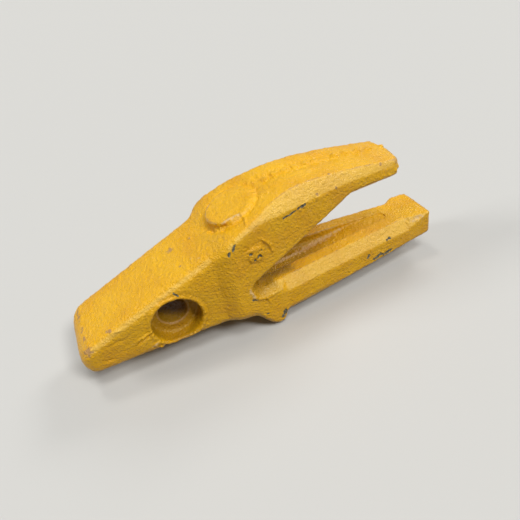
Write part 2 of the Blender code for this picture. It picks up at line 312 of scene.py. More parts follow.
def seated(marks: list[Mark], solid: BVHTree) -> list[Mark]:
    """Move each mark's ends to the nearest place on the solid.

    Args:
        marks: Marks with places close to the surface.
        solid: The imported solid's faces, in metres.

    Returns:
        The same marks with their places on the surface.
    """
    moved = []
    for mark in marks:
        places = {name: getattr(mark, name, None) for name in ("at", "start", "end")}
        moved.append(replace(mark, **{
            name: tuple(solid.find_nearest(Vector(place) * MM)[0] / MM)
            for name, place in places.items() if place is not None}))
    return moved


@dataclass(frozen=True)
class GrooveRunOut:
    """The relief groove's floor, which rises toward the lower strap's tip."""

    half_width: float = 14.5
    depth: float = 12.0
    rises: Span = (-95.0, -28.0)
    end: float = -8.0
    share: float = 0.86

    def moved(self, points: np.ndarray) -> np.ndarray:
        """Raise the places that lie in the groove.

        Args:
            points: Places in millimetres, one row each.

        Returns:
            The places with those in the groove raised.
        """
        inside = (np.abs(points[:, 1]) < self.half_width) & (points[:, 0] < self.end)
        inside &= (points[:, 2] < 0.0) & (points[:, 2] > -self.depth)
        raised = points.copy()
        raised[:, 2] *= 1.0 - self.share * smooth_step(points[:, 0], *self.rises) * inside
        return raised


@dataclass(frozen=True)
class BevelRunOut:
    """The near weld bevel, which narrows slowly to nothing at the lower strap's tip."""

    start: float = -9.0
    length: float = 27.0
    rise: float = 6.1
    # Where the bevel's inner edge crosses x = 0, and how far it leans for each millimetre of x
    edge_at: float = -14.2
    edge_lean: float = 0.094
    facing_out: float = 0.785
    facing_up: float = 0.62
    # Places above this lie on the upper strap
    gap_height: float = 20.0

    def moved(self, points: np.ndarray) -> np.ndarray:
        """Move the places above the longer bevel down onto it.

        Args:
            points: Places in millimetres, one row each.

        Returns:
            The places with those above the bevel moved.
        """
        outward = self.edge_at + self.edge_lean * points[:, 0] - points[:, 1]
        rise = self.rise * np.clip((points[:, 0] - self.start) / self.length, 0.0, 1.0)
        above = outward * self.facing_out + points[:, 2] * self.facing_up - rise
        above *= (above > 0.0) & (points[:, 0] > self.start) & (points[:, 2] < self.gap_height)
        lowered = points.copy()
        lowered[:, 1] += above * self.facing_out
        lowered[:, 2] -= above * self.facing_up
        return lowered


@dataclass(frozen=True)
class PaintedShade:
    """Painted shade: brown mixed into the colour in the bore, the recess, the groove and the
    fork's root, and on the nose's flank, where shade falls.
    """

    # Radii and depths between which the painted shade of the recess and of the bore ends
    recess_radius: Span = (20.8, 22.2)
    recess_mouth: Span = (28.0, 34.5)
    recess_share: float = 0.9
    bore_radius: Span = (12.4, 13.6)
    bore_mouth: Span = (17.0, 21.0)
    groove: SoftBox = SoftBox((-170.0, -22.0, -13.0), (-20.0, 22.0, -0.4), 1.2)
    groove_clears: Span = (-105.0, -55.0)
    groove_share: float = 0.8
    patches: tuple[tuple[SoftBox, float], ...] = (
        # The fork's root and the pocket beside it
        (SoftBox((-172.0, -30.0, -12.0), (-118.0, 30.0, 24.0), 9.0), 0.95),
        (SoftBox((-172.0, -42.0, -6.0), (-140.0, 30.0, 22.0), 6.0), 0.8),
        # The nose's near flank
        (SoftBox((-320.0, -50.0, -60.0), (-185.0, -25.0, 26.0), 12.0), 0.22),
    )

    def shares(self, points: np.ndarray) -> np.ndarray:
        """How much painted shade darkens each place.

        Args:
            points: Places in millimetres, one row each.

        Returns:
            One share from 0 to 1 for each place.
        """
        off = points - np.array(BORE)
        radial = np.hypot(off[:, 0], off[:, 2])
        near = -off[:, 1]
        recess = 1.0 - smooth_step(radial, *self.recess_radius)
        recess *= (1.0 - smooth_step(near, *self.recess_mouth)) * (near > 0.0)
        bore = 1.0 - smooth_step(radial, *self.bore_radius)
        bore *= 1.0 - smooth_step(near, *self.bore_mouth)
        groove = self.groove.weights(points)
        groove *= 1.0 - smooth_step(points[:, 0], *self.groove_clears)
        shares = [box.weights(points) * share for box, share in self.patches]
        return np.maximum.reduce([self.recess_share * recess, bore, self.groove_share * groove,
                                  *shares])


@dataclass
class Casting:
    """The one-piece steel casting with its cast skin and its worn enamel."""

    voxel: float = 1.36
    quick_voxel: float = 2.6
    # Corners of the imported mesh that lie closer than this, in metres, are one
    weld_gap: float = 1e-6
    fine_reach: float = 3.6
    lump_margin: float = 1.0
    # Share of a mark's height under which it needs no smaller faces
    faint_share: float = 0.1
    edge_rounds: int = 2
    edge_share: float = 0.5
    bulge_rounds: int = 14
    bulge_share: float = 0.6
    inside_box: float = 0.03
    groove: GrooveRunOut = GrooveRunOut()
    bevel: BevelRunOut = BevelRunOut()
    # Painted shade in the hollows and on the nose's flank
    painted_shade: PaintedShade = PaintedShade()
    # How much rougher the skin is on the faces that lay at the top of the mould
    rougher_top: float = 0.5
    # How far noise moves the outlines of marks and chips, so that none is regular
    wander: float = 0.7
    wander_noise: tuple[GradientNoise, ...] = tuple(
        GradientNoise(5.5, seed) for seed in (21, 22, 23))
    uneven: float = 0.5
    uneven_noise: GradientNoise = GradientNoise(4.5, 24)
    chip_depth: float = 0.2
    chip_edge: Span = (0.4, 0.6)
    # Sideways and upward parts of the direction that the chamfers and bevels face, which get the
    # painted sheen
    slope_out: float = 0.74
    slope_up: float = 0.67
    slope_match: Span = (0.87, 0.975)
    skin: list[SkinLayer] = field(default_factory=lambda: [
        SkinLayer(38.0, 0.22, 11),
        SkinLayer(13.0, 0.13, 12),
        SkinLayer(6.0, 0.17, 13),
        SkinLayer(3.1, 0.24, 15),
        SkinLayer(4.6, 0.34, 14, NoiseKind.PITTED),
        # Drag marks where the pattern left the sand, lengthwise on the nose
        SkinLayer(3.4, 0.15, 16, stretch=(5.0, 1.0, 1.0),
                  zone=SoftBox((-312.0, -36.0, -26.0), (-215.0, -20.0, 30.0), 8.0)),
        SkinLayer(4.2, 0.14, 17, stretch=(1.0, 2.6, 1.0),
                  zone=SoftBox((-312.0, -24.0, -10.0), (-235.0, 36.0, 40.0), 10.0)),
        # Wrinkles where the enamel ran down from the boss and the crest
        SkinLayer(3.6, 0.22, 18, stretch=(1.0, 3.0, 1.0),
                  zone=SoftBox((-185.0, -36.0, 44.0), (-100.0, 20.0, 90.0), 10.0)),
    ])

    def build(self) -> bpy.types.Object:
        """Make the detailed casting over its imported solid.

        Returns:
            The finished piece, riding on the fixed body.
        """
        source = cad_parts[CAD_NODE]
        mesh = source.data.copy()
        mesh.name = "cast_adapter"
        piece = bpy.data.objects.new("cast_adapter", mesh)
        bpy.context.scene.collection.objects.link(piece)
        mesh.transform(source.matrix_world)
        solid = self.weld(mesh)
        marks = seated([*parting_fins(), *PlainMarks().build(), *rough_places()], solid)
        spots = seated(wear_and_sheen_spots(), solid)
        self.refine(piece)
        self.split_near(piece.data, [*marks, *spots])
        self.shape(piece.data, solid, marks, spots)
        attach(piece, "root")
        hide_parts(CAD_NODE)
        return piece

    def dress(self, piece: bpy.types.Object, finish: bpy.types.Material) -> None:
        """Paint the casting all over with one finish."""
        piece.data.materials.clear()
        piece.data.materials.append(finish)

    def weld(self, mesh: bpy.types.Mesh) -> BVHTree:
        """Join the split corners of the imported mesh.

        Args:
            mesh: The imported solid's mesh.

        Returns:
            The solid's faces, for finding the nearest place on it.
        """
        bm = bmesh.new()
        bm.from_mesh(mesh)
        bmesh.ops.remove_doubles(bm, verts=bm.verts, dist=self.weld_gap)
        bm.to_mesh(mesh)
        tree = BVHTree.FromBMesh(bm)
        bm.free()
        return tree

    def refine(self, piece: bpy.types.Object) -> None:
        """Give the mesh small even faces."""
        remesh = piece.modifiers.new("grain", "REMESH")
        remesh.mode = "VOXEL"
        remesh.voxel_size = self.voxel * MM
        graph = bpy.context.evaluated_depsgraph_get()
        fine = bpy.data.meshes.new_from_object(piece.evaluated_get(graph))
        piece.modifiers.clear()
        piece.data = fine

    def split_near(self, mesh: bpy.types.Mesh, marks: list[Mark]) -> None:
        """Halve the faces round every small mark.

        Args:
            mesh: The fine mesh, changed in place.
            marks: Marks that need smaller faces.
        """
        points = read_vectors(mesh.vertices, "co", len(mesh.vertices)) / MM
        near = np.zeros(len(points), dtype=bool)
        for mark in marks:
            near |= self.near_mark(mark, points)
        bm = bmesh.new()
        bm.from_mesh(mesh)
        bm.verts.ensure_lookup_table()
        edges = [edge for edge in bm.edges
                 if near[edge.verts[0].index] and near[edge.verts[1].index]]
        bmesh.ops.subdivide_edges(bm, edges=edges, cuts=1, use_grid_fill=True)
        bm.to_mesh(mesh)
        bm.free()

    def near_mark(self, mark: Mark, points: np.ndarray) -> np.ndarray:
        """Tell which places need small faces for one mark.

        Args:
            mark: The mark.
            points: Places in millimetres, one row each.

        Returns:
            True for each place on the mark or close to it.
        """
        if isinstance(mark, (Panel, Ring)):
            return np.abs(mark.heights(points)) > self.faint_share * abs(mark.height)
        # A worn spot reaches out to twice its radius
        if isinstance(mark, WearAndSheenSpot):
            grown = replace(mark, radius=(mark.radius + self.fine_reach) / 2)
        elif isinstance(mark, Ridge):
            grown = WearAndSheenSpot(mark.start, self.fine_reach / 2, Wear.BARE, mark.end)
        else:
            grown = WearAndSheenSpot(mark.at, (mark.radius + self.lump_margin) / 2, Wear.BARE)
        return grown.depth(points) > 0.0

    def shape(self, mesh: bpy.types.Mesh, solid: BVHTree, marks: list[Mark],
              spots: list[WearAndSheenSpot]) -> None:
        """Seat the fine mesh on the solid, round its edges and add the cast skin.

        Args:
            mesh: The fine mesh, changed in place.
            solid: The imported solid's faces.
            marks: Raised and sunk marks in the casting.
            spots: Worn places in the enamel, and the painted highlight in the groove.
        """
        count = len(mesh.vertices)
        edges = np.empty(len(mesh.edges) * 2, dtype=np.int32)
        mesh.edges.foreach_get("vertices", edges)
        edges = edges.reshape(-1, 2)
        places = read_vectors(mesh.vertices, "co", count)
        sharp = np.array([solid.find_nearest(Vector(place))[0] for place in places], dtype=float)
        sharp = self.bevel.moved(self.groove.moved(sharp / MM)) * MM
        places = relax(sharp, edges, self.edge_rounds, self.edge_share)
        mesh.vertices.foreach_set("co", places.ravel())
        mesh.update()
        normals = read_vectors(mesh.vertex_normals, "vector", count)
        flat = relax(sharp, edges, self.bulge_rounds, self.bulge_share)
        write_values(mesh, "bulge", ((sharp - flat) * normals).sum(axis=1) / MM)
        # Painted sheen: how closely each place faces the way the chamfers and bevels do
        facing = np.abs(normals[:, 1]) * self.slope_out + normals[:, 2] * self.slope_up
        write_values(mesh, "painted_sheen_amount", smooth_step(facing, *self.slope_match))
        points = places / MM
        # Painted shade: how much brown darkens each place where shade falls
        write_values(mesh, "painted_shade_amount", self.painted_shade.shares(points))
        wandered = points + self.wander * np.stack(
            [drift.at(points) for drift in self.wander_noise], axis=1)
        wear = self.store_wear(mesh, spots, wandered)
        heights = self.skin_heights(points, normals) + self.mark_heights(marks, points, wandered)
        heights -= self.chip_depth * smooth_step(wear[Wear.BARE], *self.chip_edge)
        places += normals * (heights * MM)[:, None]
        low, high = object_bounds()
        margin = self.inside_box * MM
        places = np.clip(places, np.array(low) + margin, np.array(high) - margin)
        mesh.vertices.foreach_set("co", places.ravel())
        mesh.polygons.foreach_set("use_smooth", [True] * len(mesh.polygons))
        mesh.update()

    def skin_heights(self, points: np.ndarray, normals: np.ndarray) -> np.ndarray:
        """Height of the whole cast skin at each place, in millimetres."""
        heights = sum(layer.heights(points) for layer in self.skin)
        return heights * (1.0 + self.rougher_top * np.clip(normals[:, 2], 0.0, 1.0))

    def mark_heights(self, marks: list[Mark], points: np.ndarray,
                     wandered: np.ndarray) -> np.ndarray:
        """Height of all the marks at each place.

        Args:
            marks: Raised and sunk marks.
            points: Places in millimetres, one row each.
            wandered: The same places moved a little by noise.

        Returns:
            Heights in millimetres.
        """
        uneven = 1.0 + self.uneven * self.uneven_noise.at(points)
        return sum(mark.heights(wandered) for mark in marks) * uneven

    def store_wear(self, mesh: bpy.types.Mesh, spots: list[WearAndSheenSpot],
                   wandered: np.ndarray) -> dict[Wear, np.ndarray]:
        """Work out how worn the enamel is and where the painted highlight lies, and keep it in the
        mesh for the shader.

        Args:
            mesh: The fine mesh.
            spots: Worn places, and the painted highlight in the groove.
            wandered: Vertex places moved a little by noise, in millimetres.

        Returns:
            One depth of wear for each vertex, by kind.
        """
        wear = {kind: np.zeros(len(wandered)) for kind in Wear}
        for spot in spots:
            wear[spot.wear] = np.maximum(wear[spot.wear], spot.depth(wandered))
        for kind, depth in wear.items():
            write_values(mesh, kind.value, depth)
        return wear


def read_vectors(items: bpy.types.bpy_prop_collection, name: str, count: int) -> np.ndarray:
    """Read one vector for each item as rows of an array."""
    values = np.empty(count * 3)
    items.foreach_get(name, values)
    return values.reshape(-1, 3)


def write_values(mesh: bpy.types.Mesh, name: str, values: np.ndarray) -> None:
    """Store one number for each vertex under a name that the shader reads."""
    layer = mesh.attributes.new(name, "FLOAT", "POINT")
    layer.data.foreach_set("value", values.astype(np.float32))


def relax(places: np.ndarray, edges: np.ndarray, rounds: int, share: float) -> np.ndarray:
    """Move each vertex toward the mean of its neighbours.

    Args:
        places: Vertex places, one row each.
        edges: Pairs of vertex numbers.
        rounds: How many times to move them.
        share: Part of the way that each move goes.

    Returns:
        The new places.
    """
    count = len(places)
    ends = np.concatenate([edges[:, 0], edges[:, 1]])
    others = np.concatenate([edges[:, 1], edges[:, 0]])
    near = np.maximum(np.bincount(ends, minlength=count), 1)[:, None]
    for _ in range(rounds):
        sums = np.stack([np.bincount(ends, places[others, axis], minlength=count)
                         for axis in range(3)], axis=1)
        places = places + (sums / near - places) * share
    return places


def parting_fins() -> list[Mark]:
    """Fins, folds, beads and furrows that the mould left, and softer corners beside them."""
    return [
        Ridge((-281.0, -31.2, 11.5), (-270.0, -32.6, 13.8), 0.9, 1.2),
        Ridge((-266.5, -33.4, -3.6), (-250.0, -33.5, 1.6), 0.9, 1.2),
        Ridge((-265.0, -33.4, -6.4), (-250.5, -33.5, -1.6), 0.9, -1.5),
        Ridge((-294.0, -33.0, -9.8), (-286.0, -33.1, -11.4), 0.9, -1.0),
        Ridge((-292.0, -33.0, 2.6), (-268.0, -33.3, 4.2), 1.2, -0.6),
        Ridge((-157.6, -19.6, 68.6), (-157.4, -26.6, 67.0), 0.9, 1.5),
        Ridge((-157.4, -26.6, 67.0), (-158.8, -34.6, 65.4), 0.9, 1.3),
        Ridge((-151.0, -38.7, 52.5), (-146.0, -38.2, 45.0), 1.0, 1.6),
        Ridge((-146.0, -38.2, 45.0), (-143.6, -38.0, 36.0), 1.0, 1.6),
        Ridge((-156.6, -39.4, -2.5), (-152.4, -39.0, -14.0), 1.0, 1.2),
        Ridge((-72.0, -22.8, -1.2), (-67.0, -18.6, 0.4), 0.9, 0.9),
        Ridge((-173.9, -41.4, 27.0), (-174.6, -41.4, 42.0), 1.6, 0.8),
        Ridge((-172.8, -17.2, 62.2), (-158.9, -19.4, 67.2), 1.3, 0.8),
        Ridge((-262.0, -33.6, 20.6), (-196.0, -34.2, 46.5), 5.0, -1.1),
        # The bead round the fork's root and the pocket that it frames
        Ridge((-167.6, -40.7, 5.0), (-163.2, -40.2, -3.0), 1.4, 0.9),
        Ridge((-163.6, -40.2, -3.0), (-154.0, -39.2, -5.9), 1.4, 1.2),
        Ridge((-154.6, -39.2, -5.9), (-145.0, -37.9, -5.0), 1.3, 0.9),
        Ridge((-161.0, -35.5, 8.6), (-153.0, -30.0, 2.6), 3.2, -2.4),
        Ridge((-151.0, -33.0, -1.0), (-146.5, -31.0, -1.4), 0.9, 1.0),
        # The bead round the recess's rim with a furrow outside it, and the furrow round the boss
        Ring((BORE[0], NEAR_FLANK, BORE[2]), (0.0, 1.0, 0.0), 22.8, 1.2, 0.6, 6.0),
        Ring((BORE[0], NEAR_FLANK, BORE[2]), (0.0, 1.0, 0.0), 25.8, 1.2, -0.4, 6.0),
        Ring((-160.5, 0.0, 67.0), (-0.29, 0.0, 0.96), 24.8, 1.8, -1.0, 12.0),
        # The boss stands out most where the saddle meets it
        Ridge((-187.0, 6.0, 55.0), (-182.0, -11.0, 56.5), 3.6, -1.5),
        Ridge((-182.5, -10.0, 56.5), (-172.0, -21.5, 60.0), 3.4, -1.5),
    ]


@dataclass(frozen=True)
class PlainMarks:
    """Plain round pips along the upper strap and a worn round pad on the flank."""

    pip_height: float = 2.1
    pip_flat: float = 0.4
    pips_y: float = 5.0
    crest_pips: tuple[float, ...] = tuple(np.linspace(-126.0, -80.0, 6))
    crest_z: float = 76.0
    crest_radius: float = 4.0
    tip_pips: tuple[float, ...] = tuple(np.linspace(-62.0, -29.0, 4))
    tip_z: float = 72.0
    tip_radius: float = 4.3
    # The pips by the crest rise from a sunk strip, so that they stay below the crest
    strip: Panel = Panel(SoftBox((-146.0, -8.0, 60.0), (-60.0, 18.0, 90.0), 10.0), -1.3)
    pad: Lump = Lump((-157.8, -39.6, 40.6), 8.2, 1.7, 0.7)

    def build(self) -> list[Mark]:
        """List the pips, the strip that they stand in and the pad."""
        rows = ((self.crest_pips, self.crest_z, self.crest_radius),
                (self.tip_pips, self.tip_z, self.tip_radius))
        pips = [Lump((x, self.pips_y, z), radius, self.pip_height, self.pip_flat)
                for places, z, radius in rows for x in places]
        return [*pips, self.strip, self.pad]


def rough_places() -> list[Mark]:
    """Lumps of flash on the upper strap's end and by the recess, and small pits and bumps."""
    return [
        Lump((-13.2, 8.0, 63.6), 3.9, 2.7, 0.1),
        Lump((-14.5, -14.0, 56.0), 3.2, 1.1, 0.2),
        Lump((-17.5, -20.0, 59.0), 3.0, 1.2, 0.2),
        Lump((-21.0, -22.6, 57.5), 2.6, 1.1, 0.2),
        Lump((-27.0, -24.6, 56.6), 2.6, 1.0, 0.2),
        Lump((-34.0, -25.6, 57.5), 2.8, 0.9, 0.2),
        Lump((-40.0, -26.2, 59.5), 2.4, 0.8, 0.2),
        Lump((-251.2, -33.5, -13.2), 3.4, 1.6, 0.2),
        Lump((-247.8, -33.6, -19.6), 2.4, 1.2, 0.2),
        Lump((-161.6, -40.9, 42.6), 2.2, -1.1, 0.2),
        Lump((-155.4, -40.6, 37.6), 2.6, -1.2, 0.2),
        Lump((-159.4, -40.6, 36.8), 1.6, -0.8, 0.2),
        Lump((-110.0, -3.0, 76.9), 2.2, -0.7, 0.2),
        Lump((-96.0, 0.6, 76.9), 1.9, -0.7, 0.2),
        Lump((-146.0, -8.0, 72.0), 2.0, -0.6, 0.2),
        Lump((-191.0, -22.0, 50.5), 1.6, 0.8, 0.2),
        Lump((-136.0, -14.0, 75.0), 1.6, 0.8, 0.2),
    ]


def wear_and_sheen_spots() -> list[WearAndSheenSpot]:
    """Chips down to the steel, places where the enamel is rubbed brown, chalky dust, and a painted
    highlight in the groove's far fillet.
    """
    bare = Wear.BARE
    scuffed = Wear.SCUFFED
    chalk_and_sheen = Wear.CHALK_AND_SHEEN
    return [
        WearAndSheenSpot((-172.0, -17.4, 62.8), 1.5, chalk_and_sheen, (-159.0, -20.4, 66.6)),
        WearAndSheenSpot((-203.9, -19.6, 43.6), 1.1, chalk_and_sheen),
        WearAndSheenSpot((-198.0, -25.0, 45.6), 0.9, chalk_and_sheen),
        WearAndSheenSpot((-1.0, -20.4, -2.6), 2.4, chalk_and_sheen, (9.0, -21.0, -1.2)),
        WearAndSheenSpot((-255.0, -33.4, -14.4), 0.8, chalk_and_sheen, (-249.6, -33.4, -11.4)),
        WearAndSheenSpot((-168.4, -40.7, 9.0), 1.3, chalk_and_sheen, (-166.6, -40.6, 0.0)),
        # Painted highlight: a pale tan band along the groove's far fillet, for the light that it
        # mirrors
        WearAndSheenSpot((-128.0, 4.0, -10.0), 3.0, chalk_and_sheen, (-90.0, 8.2, -9.7)),
        WearAndSheenSpot((-90.0, 8.2, -9.7), 3.0, chalk_and_sheen, (-60.0, 9.4, -6.6)),
        WearAndSheenSpot((-302.0, -29.4, 3.1), 3.8, scuffed),
        WearAndSheenSpot((-303.6, 22.6, 3.7), 1.3, scuffed, (-303.4, 13.0, 3.8)),
        WearAndSheenSpot((-303.4, 8.6, 3.7), 1.3, scuffed),
        WearAndSheenSpot((-302.4, -1.6, 4.3), 1.3, scuffed, (-302.6, -5.6, 4.1)),
        WearAndSheenSpot((-302.4, -13.4, 4.3), 1.5, scuffed, (-301.8, -17.0, 4.4)),
        WearAndSheenSpot((-283.0, -26.4, 12.3), 1.1, scuffed, (-279.4, -29.0, 12.7)),
        WearAndSheenSpot((-214.7, 8.6, 39.3), 2.6, scuffed),
        WearAndSheenSpot((-213.5, -17.9, 39.8), 1.3, scuffed),
        WearAndSheenSpot((-197.0, 4.0, 46.4), 1.2, scuffed),
        WearAndSheenSpot((-251.4, 27.0, 24.8), 1.0, scuffed, (-248.4, 28.6, 26.0)),
        WearAndSheenSpot((-226.0, -33.7, 28.6), 0.9, bare, (-223.2, -33.9, 25.2)),
        WearAndSheenSpot((-178.8, -41.7, 49.6), 1.2, bare, (-178.0, -41.6, 51.4)),
        WearAndSheenSpot((-174.6, -41.2, 52.8), 1.0, bare, (-172.6, -40.8, 55.6)),
        WearAndSheenSpot((-161.8, -40.9, 42.8), 1.3, bare),
        WearAndSheenSpot((-156.2, -40.6, 37.4), 1.4, bare, (-154.6, -40.4, 37.9)),
        WearAndSheenSpot((-159.6, -40.6, 36.4), 1.0, bare),
        WearAndSheenSpot((-152.6, -39.6, 43.0), 0.7, bare),
        WearAndSheenSpot((-129.0, -36.4, 60.8), 0.8, bare, (-118.0, -35.2, 62.8)),
        WearAndSheenSpot((-116.4, -35.0, 63.0), 1.1, bare, (-109.8, -34.3, 64.2)),
        WearAndSheenSpot((-97.5, -31.5, 67.8), 1.3, scuffed),
        WearAndSheenSpot((-80.4, -30.7, 66.4), 1.2, scuffed),
        WearAndSheenSpot((-81.4, -22.7, 76.2), 1.2, scuffed),
        WearAndSheenSpot((-77.0, -23.4, 75.8), 0.9, scuffed),
        WearAndSheenSpot((-35.2, -23.0, 68.5), 1.3, scuffed),
        WearAndSheenSpot((-167.4, -40.7, -1.7), 1.2, bare, (-165.0, -40.4, -2.6)),
        WearAndSheenSpot((-143.6, -38.0, -33.6), 1.7, bare, (-140.8, -37.7, -28.6)),
        WearAndSheenSpot((-157.7, -39.6, -23.3), 1.0, bare),
        WearAndSheenSpot((-167.0, -39.6, -18.5), 0.8, scuffed),
        WearAndSheenSpot((-52.9, -27.9, -17.8), 1.1, bare, (-51.4, -27.8, -15.8)),
        WearAndSheenSpot((-45.2, -27.0, -22.8), 1.7, bare, (-38.0, -26.2, -20.4)),
        WearAndSheenSpot((-36.0, -26.0, -22.4), 1.3, bare, (-26.4, -25.0, -22.0)),
        WearAndSheenSpot((-29.8, -24.9, -9.4), 1.2, bare, (-27.0, -24.5, -8.6)),
        WearAndSheenSpot((15.1, -20.3, -2.8), 0.9, bare),
    ]


@dataclass(frozen=True)
class YellowEnamel:
    """Alkyd machine enamel brushed and sprayed over a sand-cast steel skin, with painted shade in
    its hollows and painted highlights on its slopes and in the groove.
    """

    # Deep golden yellow that stays rich in the shade, a little thinner or pooled in places
    base: str = "#EBAF08"
    thin: str = "#F0B60F"
    pooled: str = "#E2A206"
    pooled_at: float = 0.32
    thin_at: float = 0.68
    # Painted shade: brown mixed into the yellow in the bore, the recess, the groove, the fork's
    # root and on the nose's flank
    painted_shade: str = "#8E6A14"
    painted_shade_share: float = 0.75
    # Rubbed enamel shows the dusty primer, and a chip shows the dark scale of the steel
    rubbed: str = "#A9825C"
    scale: str = "#3E3B34"
    scale_pale: str = "#8F8A70"
    # Chalky dust and thin enamel look tan; the same tan is the painted highlight in the groove's
    # far fillet
    chalk_and_sheen_colour: str = "#E4C18A"
    rubbed_share: float = 0.8
    chalk_and_sheen_share: float = 0.8
    # Painted sheen: a pale tan laid on the chamfers and bevels, standing in for the highlight that
    # they catch
    painted_sheen: str = "#F2DA86"
    painted_sheen_share: float = 0.25
    # Semi-gloss: soft wide highlights, none of them sharp
    roughness: float = 0.29
    rubbed_roughness: float = 0.7
    scale_roughness: float = 0.55
    coat_ior: float = 1.4
    drift_mm: float = 30.0
    drift_detail: float = 5.0
    # Brush and spray texture over the sand
    peel_mm: float = 2.1
    peel_height_mm: float = 1.3
    peel_detail: float = 2.0
    # The sand's own grain of about 0.3 mm is too fine to show, so it is drawn at 1 mm
    grain_mm: float = 1.0
    grain_height_mm: float = 0.75
    grain_detail: float = 1.0
    # Chips have ragged edges and a step down to the steel
    chip_edge_mm: float = 2.2
    chip_detail: float = 4.0
    chip_raggedness: float = 1.8
    chip_step_mm: float = 0.2
    # Stored depth of wear at which its ragged edge is at its widest, and where its colour starts
    ragged_from: float = 0.3
    wear_from: float = 0.45
    bare_full: float = 0.58
    rubbed_full: float = 0.7
    chalk_and_sheen_full: float = 0.9
    scale_mm: float = 1.3
    scale_detail: float = 3.0
    flecks: Span = (0.4, 0.65)
    # Convex edges are rubbed in patches: edge height in millimetres, and the patches' cut-off
    edge_wear_mm: float = 6.0
    edge_detail: float = 5.0
    edge_bulge: Span = (0.15, 0.9)
    edge_patches: Span = (0.95, 1.25)
    edge_share: float = 0.5

    def build(self) -> bpy.types.Material:
        """Build the enamel's shader with its chips and rubbed places.

        Returns:
            The material.
        """
        material = bpy.data.materials.new("yellow_enamel_on_cast_steel")
        material.use_nodes = True
        tree = material.node_tree
        tree.nodes.clear()
        place = add_node(tree, "ShaderNodeTexCoord").outputs["Object"]
        ragged = noise(tree, place, self.chip_edge_mm, self.chip_detail)
        bare = self.mask(tree, Wear.BARE, ragged, self.bare_full)
        rubbed = self.mask(tree, Wear.SCUFFED, ragged, self.rubbed_full, self.rubbed_share)
        # The chalk mask also carries the painted highlight in the groove's far fillet
        chalk_and_sheen = self.mask(tree, Wear.CHALK_AND_SHEEN, ragged, self.chalk_and_sheen_full, self.chalk_and_sheen_share)
        painted = mix_colours(tree, chalk_and_sheen, self.paint_colour(tree, place), self.chalk_and_sheen_colour)
        worn = mix_colours(tree, rubbed, painted, self.rubbed)
        flecks = span(tree, noise(tree, place, self.scale_mm, self.scale_detail), self.flecks)
        steel = mix_colours(tree, flecks, self.scale, self.scale_pale)
        rough_worn = mix_numbers(tree, rubbed, self.roughness, self.rubbed_roughness)
        shader = add_node(tree, "ShaderNodeBsdfPrincipled", {"IOR": self.coat_ior}, {
            "Base Color": mix_colours(tree, bare, worn, steel),
            "Roughness": mix_numbers(tree, bare, rough_worn, self.scale_roughness),
            "Normal": self.relief(tree, place, bare)})
        add_node(tree, "ShaderNodeOutputMaterial", links={"Surface": shader.outputs["BSDF"]})
        return material

    def paint_colour(self, tree: bpy.types.NodeTree,
                     place: bpy.types.NodeSocket) -> bpy.types.NodeSocket:
        """Colour of the whole enamel, without its chips.

        Args:
            tree: Tree that takes the nodes.
            place: Socket with the place in metres.

        Returns:
            Yellow that drifts a little, with painted sheen on slopes, painted shade in hollows and
            on the nose's flank, rubbed on edges.
        """
        drift = noise(tree, place, self.drift_mm, self.drift_detail)
        ramp = add_node(tree, "ShaderNodeValToRGB", links={"Fac": drift})
        stops = ramp.color_ramp.elements
        stops[0].position = self.pooled_at
        stops[0].color = hex_to_linear(self.pooled)
        stops[1].position = self.thin_at
        stops[1].color = hex_to_linear(self.thin)
        stops.new((self.pooled_at + self.thin_at) / 2).color = hex_to_linear(self.base)
        # Painted sheen: pale tan on the chamfers and bevels for the highlight that they catch
        painted_sheen = scaled(tree, stored(tree, "painted_sheen_amount"), self.painted_sheen_share)
        coat = mix_colours(tree, painted_sheen, ramp.outputs["Color"], self.painted_sheen)
        # Painted shade: brown mixed in where shade falls in the hollows and on the nose's flank
        painted_shade_weight = scaled(tree, stored(tree, "painted_shade_amount"), self.painted_shade_share)
        painted = mix_colours(tree, painted_shade_weight, coat, self.painted_shade)
        total = add_node(tree, "ShaderNodeMath", {"operation": "ADD"}, {
            0: span(tree, stored(tree, "bulge"), self.edge_bulge),
            1: noise(tree, place, self.edge_wear_mm, self.edge_detail)}).outputs[0]
        edges = scaled(tree, span(tree, total, self.edge_patches), self.edge_share)
        return mix_colours(tree, edges, painted, self.rubbed)

    def mask(self, tree: bpy.types.NodeTree, wear: Wear, ragged: bpy.types.NodeSocket,
             full: float, most: float = 1.0) -> bpy.types.NodeSocket:
        """Ragged-edged mask of one kind of wear, or of the painted highlight.

        Args:
            tree: Tree that takes the nodes.
            wear: Kind of wear, whose depth the mesh keeps.
            ragged: Noise that makes the edge ragged.
            full: Ragged depth at which the wear is at its strongest.
            most: How much of the colour under it the wear hides.

        Returns:
            How much the wear shows, from 0 to the most.
        """
        depth = stored(tree, wear.value)
        rough = add_node(tree, "ShaderNodeMath", {
            "operation": "MULTIPLY_ADD", 1: self.chip_raggedness,
            2: -self.chip_raggedness / 2}, {0: ragged}).outputs[0]
        edged = add_node(tree, "ShaderNodeMath", {"operation": "MULTIPLY"}, {
            0: rough, 1: span(tree, depth, (0.0, self.ragged_from))}).outputs[0]
        total = add_node(tree, "ShaderNodeMath", {"operation": "ADD"}, {0: depth, 1: edged})
        return span(tree, total.outputs[0], (self.wear_from, full), most)

